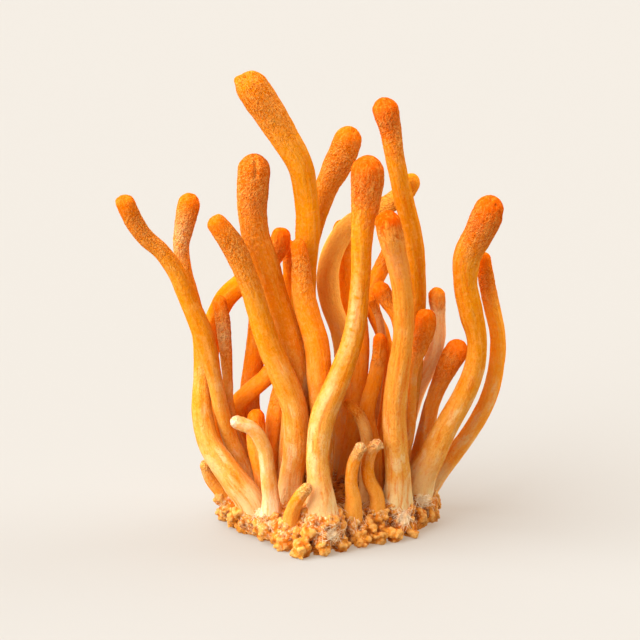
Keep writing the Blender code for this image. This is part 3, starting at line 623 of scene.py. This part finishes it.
club("arched_back_club", painted_lit_back, "shaded_skin", [
    (1.6, 6.3, 7.6, 1.7), (2.5, 17.5, 8.4, 1.7), (3, 25.8, 8.2, 1.7), (2.1, 32.5, 8, 1.7),
    (0.3, 38, 8, 1.8), (0, 42.8, 8, 1.85), (1.4, 47.1, 8, 1.8), (3.4, 50, 8, 1.7),
    (6.7, 52, 7, 1.65), (10.2, 53.8, 6, 1.65), (12.8, 55.8, 5, 1.7), (14.5, 58.6, 4.5, 1.5)], head=10.0)
club("dark_back_club", shaded, "shaded_skin", [
    (5.5, 7.0, 11.5, 1.5), (4.7, 17.5, 12.3, 1.5), (3.7, 27.5, 12.3, 1.5),
    (2.7, 37.5, 12, 1.5), (2.3, 45.8, 12, 1.75), (2.6, 51.2, 12, 1.7)], head=10.0)
club("slim_back_club", shaded, "shaded_skin", [
    (-3.8, 6.4, 7.8, 1.2), (-4.2, 15.8, 8.2, 1.2), (-5, 27.5, 8.2, 1.2),
    (-6.3, 37.5, 7.5, 1.2), (-6.3, 43.3, 7, 1.25), (-6.5, 47.7, 7, 1.2)], head=7.0)
club("crossing_club", shaded, "shaded_skin", [
    (8, 6, 6.3, 1.3), (9.3, 15.8, 5.5, 1.3), (10, 25.8, 5, 1.25), (9.2, 32, 4.5, 1.2),
    (7.7, 35.5, 4, 1.2), (7.3, 38.8, 4, 1.3), (8.8, 42.8, 4, 1.35), (10.3, 45.8, 4, 1.4),
    (11.2, 47.8, 4, 1.25)], head=8.0)
club("small_cap_club", shaded, "ripe_skin", [
    (7.3, 4.2, 1.2, 1.1), (9.3, 14.5, 0.8, 1.1), (10.3, 20, -0.9, 1.1),
    (11.4, 24.5, -2.5, 1.1), (12.1, 30.5, -3.2, 1.1), (11.3, 35.2, -2.2, 1.1),
    (9.9, 37.6, -1.4, 1.4), (8.9, 39.2, -1, 1.55), (8.3, 40.7, -1, 1.4)], head=5.0)
club("inner_red_club", shaded, "shaded_skin", [
    (2.8, 5.3, 3.5, 1.5), (4.3, 15.8, 3, 1.5), (5, 22.5, 2.5, 1.5), (5.5, 29.2, 2, 1.45),
    (5.2, 34.2, 1.9, 1.45), (4.9, 37.2, 2, 1.3)], head=6.0)
club("short_inner_club", shaded, "ripe_skin", [
    (7.6, 3.2, -2.4, 1.2), (7.7, 12.5, -2.6, 1.25), (6.5, 18.8, -3, 1.35),
    (7.7, 24.2, -3.5, 1.25), (8.5, 28.3, -4, 1.25), (8.7, 32.2, -4, 1.1)], head=7.0)
club("shaded_left_club", shaded, "shaded_skin", [
    (-8.6, 5.9, 7.4, 1.3), (-10.3, 11, 7.9, 1.4), (-12, 16, 8, 1.6), (-13.2, 20.5, 7.2, 1.7),
    (-12.7, 25, 6, 1.75), (-12.1, 30, 4.2, 1.6), (-11.9, 35, 1.5, 1.4), (-12, 38.3, 0, 1.25)], head=7.0)
club("low_back_club", shaded, "shaded_skin", [
    (-12, 6, 9.5, 1.5), (-14.5, 12, 8.2, 1.5), (-15.3, 16.8, 5.4, 1.5), (-15, 20.4, 3.2, 1.5),
    (-12.7, 22.8, 2, 1.5), (-10, 25.2, 1.6, 1.5), (-8, 28, 1.8, 1.5), (-6.9, 30.6, 2.2, 1.35)], head=7.0)
club("inner_left_club", shaded, "shaded_skin", [
    (-9.6, 2.9, -1.8, 1.5), (-11, 9.2, -3.4, 1.55), (-11.9, 14.3, -3.8, 1.65),
    (-12, 17.2, -3.8, 1.55), (-11.9, 19.6, -3.6, 1.25)], head=6.0)
club("inner_low_club", shaded, "shaded_skin", [
    (-8.2, 4.8, 3.6, 1.2), (-9.3, 12, 1, 1.5), (-8.9, 17.3, 0, 1.6), (-8, 22, -0.8, 1.5),
    (-7.2, 25.3, -1.1, 1.2)], head=6.0)
club("pale_neck_club", pinkish, "pale_skin", [
    (4.4, 3.9, 0.3, 0.9), (7.2, 15.8, 2, 0.85), (8.5, 24.2, 2, 0.75), (9, 31.7, 1.7, 0.7),
    (8.2, 35.7, 1.1, 0.7), (6.9, 38.3, 0.5, 0.8)], head=3.0)


# The sprouts. Young clubs, short and without a head, in cream, pink or plain orange. They stand between the
# feet of the big ones and at the lump's edge, and some of their tips are blunt and crumbly.
mottled_cream = skin("mottled_cream_sprout", (0.73, 0.336, 0.08), (0.7, 0.24, 0.02), (0.75, 0.35, 0.09),
                     (0.78, 0.56, 0.34), head_length=1.0, mottling=0.6, cap=0.0, dot=(0.78, 0.5, 0.22),
                     bloom=(0.85, 0.7, 0.5))
sprout = skin("orange_sprout", (0.76, 0.34, 0.07), (0.72, 0.16, 0.001), (0.73, 0.2, 0.003),
              (0.76, 0.3, 0.04), head_length=2.0, cap=0.0, dot=(0.82, 0.48, 0.2))
CRUMBLY = {
    "head": 2.5, "grain": 2.4, "bloom": [(0.4, 0, 3.0, 1.3)],
    "marks": [
        (0.2, 0, 0.3, 0.3), (0.6, 70, 0.3, 0.3), (0.5, -70, 0.3, 0.25), (1.0, 20, 0.3, 0.25),
        (1.2, -40, 0.3, 0.2)],
}

club("hooked_left_sprout", mottled_cream, "pale_skin", [
    (-9.3, -0.4, -10, 1.5), (-9.5, 4.2, -10.5, 1.4), (-10, 9.2, -11, 1.3),
    (-10.7, 13.5, -11.3, 1.2), (-12.5, 16.3, -11.5, 1.15), (-14.7, 17.3, -11.5, 1.15),
    (-16.2, 17.8, -11.5, 1.05)], head=3.0, bloom=[(0, 0, 2.0, 1.2)])
club("left_foot_bud", sprout, "pale_skin", [
    (-16, 2.6, 0.5, 1.2), (-17.6, 5.4, -0.3, 1.1), (-19.6, 8, -0.8, 1.1), (-20.7, 11, -1.2, 1)], head=3.0)
club("pink_sprout", pinkish, "pale_skin", [
    (5.8, 1.1, -6, 1.1), (6.4, 8.3, -5.5, 1.1), (6.6, 12.5, -6, 1.1), (5.8, 17.3, -7, 1.05),
    (4.5, 19.5, -7.8, 1.0), (2.8, 21, -8.3, 0.9)], head=6.0)
club("front_sprout", sprout, "pale_skin", [
    (3.8, -0.5, -10.5, 1.4), (4.2, 4.2, -11, 1.25), (3.8, 7.5, -11.3, 1.05),
    (4.2, 10.5, -11.5, 1.05), (5.8, 14, -12, 0.95)], **CRUMBLY)
club("second_front_sprout", sprout, "pale_skin", [
    (8, 0.3, -7.5, 1.2), (8, 5.3, -8.2, 1.1), (6.8, 8, -8.7, 1.1), (6.7, 10.8, -9.2, 1.05),
    (7.3, 12.8, -9.7, 1.05), (8.8, 14.3, -10.2, 0.95)], **CRUMBLY)
club("finger_bud", sprout, "pale_skin", [
    (-6.2, -1.2, -13, 1.1), (-6, 2.3, -14.3, 1.1), (-5.2, 4.3, -15.3, 1.1),
    (-3, 7.2, -16.5, 0.95)], head=2.5, bloom=[(0, 90, 1.0, 0.8)])


# The clubs at the back. Plain ripe ones, which stand hidden behind the others in the view and close the
# bunch from behind.
club("back_club_1", ripe, "ripe_skin", [
    (-5.5, 6.9, 11, 1.6), (-5.6, 20, 12.3, 1.6), (-7, 32, 13.3, 1.5), (-9.5, 42, 14.2, 1.55),
    (-11.8, 48, 15, 1.7), (-12.6, 54, 15.5, 1.9), (-12.5, 57, 15.5, 1.7)], head=10.0)
club("back_club_2", ripe, "ripe_skin", [
    (-1, 7, 11.3, 1.6), (-2.2, 22, 12.3, 1.6), (-3.5, 36, 13.5, 1.6), (-3.7, 46, 14.3, 1.7),
    (-3.5, 52, 15, 1.8), (-3.3, 55, 15.3, 1.6)], head=10.0)
club("back_club_3", ripe, "ripe_skin", [
    (9.5, 7.5, 13.3, 1.5), (12, 20, 13.5, 1.4), (13.7, 32, 14, 1.4), (13.9, 42, 14.8, 1.6),
    (13.3, 49, 15.3, 1.7), (12.8, 51.5, 15.4, 1.5)], head=10.0)
club("back_club_4", ripe, "ripe_skin", [
    (-8, 7.2, 13.5, 1.3), (-6.6, 18, 15.5, 1.2), (-7.6, 26, 17, 1.4), (-8.8, 31.5, 18, 1.4),
    (-9, 34, 18.3, 1.2)], head=10.0)


# The lump. Swollen grains of the rice that the fungus grew on, run together and overgrown by its threads,
# cut off flat underneath. It swells round each foot, and crumbs of grain stick out all round its rim.
LUMP_MASSES = [  # on the ground plan: (x, y, height of centre, radii in x, y and z) in millimetres
    (0, 0, 1.8, 14.5, 12, 5.6), (-3.6, -8.8, 2.0, 7.6, 7.8, 3.7), (-10.6, -1.6, 2.2, 6.2, 6, 3.7),
    (11.3, -0.6, 2.1, 6, 5.8, 3.7), (0, 8, 1.9, 12.5, 7.2, 4.6), (-9.6, 5.6, 1.9, 6.3, 6.4, 4.2),
    (9.8, 6.2, 1.8, 6.3, 6.4, 4.2), (4, -7.0, 2.0, 7.4, 5.4, 3.4), (-8.6, -6.6, 2.2, 4.6, 4.4, 3.2),
]
FRONT_KNOBS = [  # (x, y, height of centre, radius)
    (-17.0, -0.3, 3.1, 1.35), (-15.1, -3.9, 3.0, 1.35), (-12.3, -7.0, 3.0, 1.5),
    (-15.6, -1.6, 1.1, 1.2), (-13.2, -4.4, 1.0, 1.2), (-10.5, -8.2, 1.3, 1.35),
    (-8.8, -11.0, 3.4, 1.25), (-7.5, -13.8, 1.3, 1.5), (-5.4, -14.6, 3.2, 1.2),
    (-4.2, -17.6, 1.3, 1.7), (-3.0, -16.4, 3.7, 1.25), (-0.8, -15.2, 3.9, 1.15),
    (-1.1, -16.4, 1.4, 1.5), (1.7, -14.2, 3.8, 1.15), (2.2, -14.4, 1.2, 1.4),
    (5.4, -12.2, 1.3, 1.5), (4.4, -11.4, 3.4, 1.1), (6.9, -9.7, 3.7, 1.2),
    (9.3, -8.0, 3.4, 1.4), (8.2, -10.4, 1.2, 1.4), (10.9, -8.9, 1.1, 1.5),
    (12.4, -6.9, 2.6, 1.4), (13.9, -6.6, 1.1, 1.4), (14.9, -3.8, 3.1, 1.3),
    (16.3, -1.9, 2.0, 1.4), (16.9, 0.6, 3.4, 1.2), (16.4, 0.6, 1.1, 1.3),
]
BACK_KNOBS = 26  # along the rim that is hidden in front
BACK_RIM_ACROSS = 17.2
BACK_RIM_DEPTH = 15.6
CRUMBS_ON_KNOB = 6
CRUMBS_ON_MASSES = 150
MASS_SHARE = 0.93  # leaves deep crevices between the knobs
MASS_UNEVENNESS = 0.06
KNOB_UNEVENNESS = 0.45
KNOB_SQUASH = 0.9
CRUMBS_OUT = 0.8  # a knob's crumbs sit this far out, as a share of its radius
FOOT_UNEVENNESS = 0.35
CRUMB_UNEVENNESS = 0.25
CRUMB_SINK = (-0.4, 0.15)  # how far a crumb at a foot stands out from it, as a share of the crumb
CRUMB_RISE = (-0.8, 0.6)
CRUMB_STRETCH = (0.8, 1.5)
CRUMB_ON_KNOB = (0.35, 0.6)  # smallest and largest radius of a crumb, on a knob as shares of the knob's
CRUMB_AT_FOOT = (0.35, 0.95)
CRUMB_ON_MASS = (0.5, 1.1)
LUMP_VOXEL = 0.27 * MM
LUMP_RELIEF = (  # (height, size, kind of bumps)
    (0.36, 1.3, "PERLIN_ORIGINAL"), (0.2, 0.55, "PERLIN_ORIGINAL"), (-0.34, 0.9, "VORONOI_F1"))
HOLLOW_TURNS = 14  # of smoothing, to tell hollows from high spots
WEB_AT_FEET = 0.28
WEB_SPOTS = [  # where white threads lie thickest: (across, up the sheet, breadth)
    (-11.4, 2.9, 1.3), (0.7, -1.2, 0.9), (9.7, 5.0, 1.3), (15.9, 4.6, 1.2), (12.7, 1.2, 1.1),
    (4.5, 3.2, 1.2)]


def back_knobs():
    """Knobs round the hidden half of the rim, on half an ellipse, in an uneven rhythm."""
    knobs = []
    for number in range(BACK_KNOBS):
        turn = math.pi * (number + 0.5) / BACK_KNOBS
        wave = math.sin(number * 2.4)
        high = number % 2
        knobs.append((
            (BACK_RIM_ACROSS + 0.7 * wave) * math.cos(turn),
            (BACK_RIM_DEPTH + 0.7 * wave) * math.sin(turn),
            1.3 + 1.9 * high,
            1.25 + 0.25 * math.sin(number * 1.7),
        ))
    return knobs


def ball(bm, centre, radii, unevenness, subdivisions=3):
    """Adds a round lump in millimetres, roughened like a broken grain."""
    grain = bmesh.new()
    for vert in bmesh.ops.create_icosphere(grain, subdivisions=subdivisions, radius=1)["verts"]:
        swell = noise.noise(vert.co * 1.2 + centre) + 0.6 * noise.noise(vert.co * 2.7 - centre)
        vert.co = centre + vert.co * (1 + unevenness * swell) * radii
    grain.to_mesh(one_grain)
    grain.free()
    bm.from_mesh(one_grain)


def smoothed(places, edges, turns):
    """The places after each has moved to the middle of its neighbours this many times."""
    counts = np.bincount(edges.ravel(), minlength=len(places))[:, None]
    for _ in range(turns):
        sums = np.zeros_like(places)
        np.add.at(sums, edges[:, 0], places[edges[:, 1]])
        np.add.at(sums, edges[:, 1], places[edges[:, 0]])
        places = sums / counts
    return places


chance = np.random.default_rng(11)
one_grain = bpy.data.meshes.new("one_grain")
bm = bmesh.new()
on_plan = Vector((-CENTRE_ACROSS, -CENTRE_DEPTH, 0))
for x, y, z, *radii in LUMP_MASSES:
    ball(bm, Vector((x, y, z)) + on_plan, Vector(radii) * MASS_SHARE, MASS_UNEVENNESS, 4)
for x, y, z, radius in FRONT_KNOBS + back_knobs():
    knob = Vector((x, y, z)) + on_plan
    ball(bm, knob, Vector((radius, radius, radius * KNOB_SQUASH)), KNOB_UNEVENNESS)
    for _ in range(CRUMBS_ON_KNOB):
        away = Vector(chance.normal(size=3)).normalized()
        size = radius * chance.uniform(*CRUMB_ON_KNOB)
        ball(bm, knob + away * radius * CRUMBS_OUT, Vector((size, size, size)), CRUMB_UNEVENNESS, 2)
for x, y, z, radius in fillets:
    ball(bm, Vector((x, y, z)), Vector((radius, radius, radius)), FOOT_UNEVENNESS)
for centre, radius, crumbs in collars:
    for _ in range(crumbs):
        turn = chance.uniform(0, 2 * math.pi)
        size = chance.uniform(*CRUMB_AT_FOOT)
        reach = radius + size * chance.uniform(*CRUMB_SINK)
        aside = Vector((math.cos(turn) * reach, math.sin(turn) * reach, chance.uniform(*CRUMB_RISE)))
        shape = Vector((size, size, size * chance.uniform(*CRUMB_STRETCH)))
        ball(bm, Vector(centre) + aside, shape, CRUMB_UNEVENNESS, 2)
for _ in range(CRUMBS_ON_MASSES):
    x, y, z, *radii = LUMP_MASSES[chance.integers(len(LUMP_MASSES))]
    aim = Vector(chance.normal(size=3)).normalized()
    upward = Vector((aim.x, aim.y, abs(aim.z)))
    place = Vector((x, y, z)) + on_plan + upward * Vector(radii) * MASS_SHARE
    size = chance.uniform(*CRUMB_ON_MASS)
    ball(bm, place, Vector((size, size, size * 0.8)), 0.3, 2)
bmesh.ops.scale(bm, verts=bm.verts, vec=(MM, MM, MM))
mesh = bpy.data.meshes.new("lump_masses")
bm.to_mesh(mesh)
bm.free()
masses = link(bpy.data.objects.new("lump_masses", mesh))
remesh = masses.modifiers.new("run_together", "REMESH")
remesh.mode = "VOXEL"
remesh.voxel_size = LUMP_VOXEL
bpy.context.view_layer.update()
finished = masses.evaluated_get(bpy.context.evaluated_depsgraph_get())
run_together = bpy.data.meshes.new_from_object(finished)
bpy.data.objects.remove(masses)

bm = bmesh.new()
bm.from_mesh(run_together)
places = np.array([vert.co for vert in bm.verts]) / MM
normals = np.array([vert.normal for vert in bm.verts])
edges = np.array([[vert.index for vert in edge.verts] for edge in bm.edges])
lumps = sum(height * bumps(places, size, kind) for height, size, kind in LUMP_RELIEF)
places = places + normals * lumps[:, None]
hollow = ((smoothed(places, edges, HOLLOW_TURNS) - places) * normals).sum(axis=1)
to_foot = np.full(len(places), np.inf)
for x, y, z, radius in fillets:
    to_foot = np.minimum(to_foot, np.linalg.norm(places - (x, y, z), axis=1) - radius)
on_sheet = np.column_stack([
    places[:, 0] + CENTRE_ACROSS,
    places[:, 2] * math.cos(VIEW_TILT) + (places[:, 1] + CENTRE_DEPTH) * math.sin(VIEW_TILT),
])
web = WEB_AT_FEET * (1 - rise(to_foot, 0.0, 1.0))
for across, up, breadth in WEB_SPOTS:
    aside = np.linalg.norm(on_sheet - (across, up), axis=1)
    web = np.maximum(web, np.where(places[:, 1] < 0, np.exp(-((aside / breadth) ** 2)), 0))
hollow_layer = bm.verts.layers.float.new("hollow")
web_layer = bm.verts.layers.float.new("web")
for number, vert in enumerate(bm.verts):
    vert.co = places[number] * MM
    vert[hollow_layer] = hollow[number]
    vert[web_layer] = web[number]
everything = bm.verts[:] + bm.edges[:] + bm.faces[:]
bmesh.ops.bisect_plane(bm, geom=everything, plane_no=(0, 0, 1), clear_inner=True)
bmesh.ops.holes_fill(bm, edges=bm.edges, sides=0)

RED_GRAIN = (0.53, 0.118, 0.002, 1)
ORANGE_GRAIN = (0.67, 0.23, 0.02, 1)
CREAM_SPECK = (0.8, 0.52, 0.22, 1)
PALE_HIGH_GRAIN = (0.8, 0.47, 0.14, 1)
PAINTED_CREVICE_SHADE = (0.24, 0.05, 0.003, 1)
CREAM_THREADS = (0.8, 0.6, 0.36, 1)
GRAIN_PORE = (0.45, 0.13, 0.008, 1)
LUMP_CELL = 0.3
LUMP_BUMP = 0.09
LUMP_DEPTH = 0.4  # how far light passes under its surface
grain_lump = bpy.data.materials.new("grain_lump")
grain_lump.use_nodes = True
tree = grain_lump.node_tree
shader = tree.nodes["Principled BSDF"]
where = add(tree, "TexCoord", {}, "Object")
in_mm = stretched(tree, where, (1 / MM, 1 / MM, 1 / MM))
hollow_there = add(tree, "Attribute", {}, "Fac", attribute_name="hollow")
web_there = add(tree, "Attribute", {}, "Fac", attribute_name="web")
patches = noisy(tree, in_mm, 0.5, 3.0)
specks = noisy(tree, in_mm, 2.4, 4.0)
fine = tree.nodes.new("ShaderNodeGroup")
fine.node_tree = grain_group
tree.links.new(in_mm, fine.inputs["Place"])
fine.inputs["Cell"].default_value = LUMP_CELL
colour = dyed(tree, stepped(tree, patches, 0.36, 0.6), RED_GRAIN, ORANGE_GRAIN)
colour = dyed(tree, scaled(tree, stepped(tree, specks, 0.53, 0.68), 0.4), colour, CREAM_SPECK)
# The high spots between the hollows are paler.
colour = dyed(tree, scaled(tree, stepped(tree, hollow_there, -0.08, -0.35), 0.5), colour, PALE_HIGH_GRAIN)
# Painted shade: the hollows between the grains are darkened towards a deep red-brown.
colour = dyed(tree, scaled(tree, stepped(tree, hollow_there, 0.0, 0.22), 0.88), colour, PAINTED_CREVICE_SHADE)
netted = stepped(tree, scaled(tree, worked(tree, "ADD", web_there, specks), 1.0, -0.5), 0.15, 0.6)
colour = dyed(tree, scaled(tree, netted, 0.8), colour, CREAM_THREADS)
colour = dyed(tree, scaled(tree, fine.outputs["Pores"], 0.25), colour, GRAIN_PORE)
tree.links.new(colour, shader.inputs["Base Color"])
tree.links.new(scaled(tree, specks, 0.25, 0.6), shader.inputs["Roughness"])
height = worked(tree, "ADD", fine.outputs["Height"], specks)
bump = add(tree, "Bump", {"Height": height, "Distance": LUMP_BUMP * MM, "Strength": 1.0}, "Normal")
tree.links.new(bump, shader.inputs["Normal"])
shader.inputs["Subsurface Weight"].default_value = 0.15
shader.inputs["Subsurface Radius"].default_value = (1.0, 0.5, 0.2)
shader.inputs["Subsurface Scale"].default_value = LUMP_DEPTH * MM
shader.inputs["Specular IOR Level"].default_value = 0.1
surface = BVHTree.FromBMesh(bm)
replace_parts(piece("lump_crust", bm, grain_lump), "base_lump")


# The threads. Fine cream fibres of the mycelium that runs all through the lump. Between the feet in front
# they lie on its surface as a loose net, each one a thin round cord that follows the knobs under it.
CLEAR_OF_BUNCH = 0.1  # in metres
THREADS_A_SPOT = 34
THREAD_POINTS = 12
THREAD_RADIUS = 0.032
THREAD_SPREAD = 0.7  # of the spot's breadth
THREAD_REACH = (0.8, 2.4)  # shortest and longest, from the middle to an end
THREAD_LIFT = 0.05
THREAD_SEARCH = 0.4  # above the lump, from where a thread is laid down on it
THREAD_TURNS = 6  # of smoothing
PALE_THREAD = (0.82, 0.66, 0.44, 1)
ORANGE_THREAD = (0.78, 0.46, 0.2, 1)


def on_lump(across, up):
    """The point and normal of the lump where the viewer sees this place of the sheet, in metres."""
    start = Vector(in_row_frame(across, up, 0)) + toward_viewer * CLEAR_OF_BUNCH
    place, normal, _, _ = surface.ray_cast(start, -toward_viewer)
    return place, normal


threads = bpy.data.curves.new("threads", "CURVE")
threads.dimensions = "3D"
threads.bevel_depth = THREAD_RADIUS * MM
threads.bevel_resolution = 1
threads.use_fill_caps = True
for across, up, breadth in WEB_SPOTS:
    for _ in range(THREADS_A_SPOT):
        aside = chance.normal(size=2) * breadth * THREAD_SPREAD
        middle, normal = on_lump(*(np.array([across, up]) + aside))
        if middle is None:
            continue
        aim = Vector(chance.normal(size=3))
        aim = (aim - normal * aim.dot(normal)).normalized()
        reach = chance.uniform(*THREAD_REACH) * MM
        line = []
        for share in np.linspace(-1, 1, THREAD_POINTS):
            above = middle + aim * share * reach + normal * THREAD_SEARCH * MM
            near, facing, _, _ = surface.find_nearest(above)
            line.append(near + facing * THREAD_LIFT * MM)
        for _ in range(THREAD_TURNS):
            line[1:-1] = [(a + b * 2 + c) / 4 for a, b, c in zip(line, line[1:], line[2:])]
        spline = threads.splines.new("POLY")
        spline.points.add(THREAD_POINTS - 1)
        for point, place in zip(spline.points, line):
            point.co = (place.x, place.y, max(place.z, THREAD_RADIUS * MM * 1.5), 1.0)
            point.radius = chance.uniform(0.5, 1.2)
drawn = link(bpy.data.objects.new("threads", threads))
bpy.context.view_layer.update()
finished = drawn.evaluated_get(bpy.context.evaluated_depsgraph_get())
thread_mesh = bpy.data.meshes.new_from_object(finished)
bpy.data.objects.remove(drawn)
bm = bmesh.new()
bm.from_mesh(thread_mesh)
bmesh.ops.remove_doubles(bm, verts=bm.verts, dist=WELD)
mycelium = bpy.data.materials.new("mycelium")
mycelium.use_nodes = True
tree = mycelium.node_tree
shader = tree.nodes["Principled BSDF"]
in_mm = stretched(tree, add(tree, "TexCoord", {}, "Object"), (1 / MM, 1 / MM, 1 / MM))
tint = noisy(tree, in_mm, 1.3, 3.0)
colour = dyed(tree, stepped(tree, tint, 0.4, 0.7), PALE_THREAD, ORANGE_THREAD)
tree.links.new(colour, shader.inputs["Base Color"])
tree.links.new(scaled(tree, tint, 0.3, 0.6), shader.inputs["Roughness"])
shader.inputs["Specular IOR Level"].default_value = 0.2
piece("mycelium_threads", bm, mycelium)
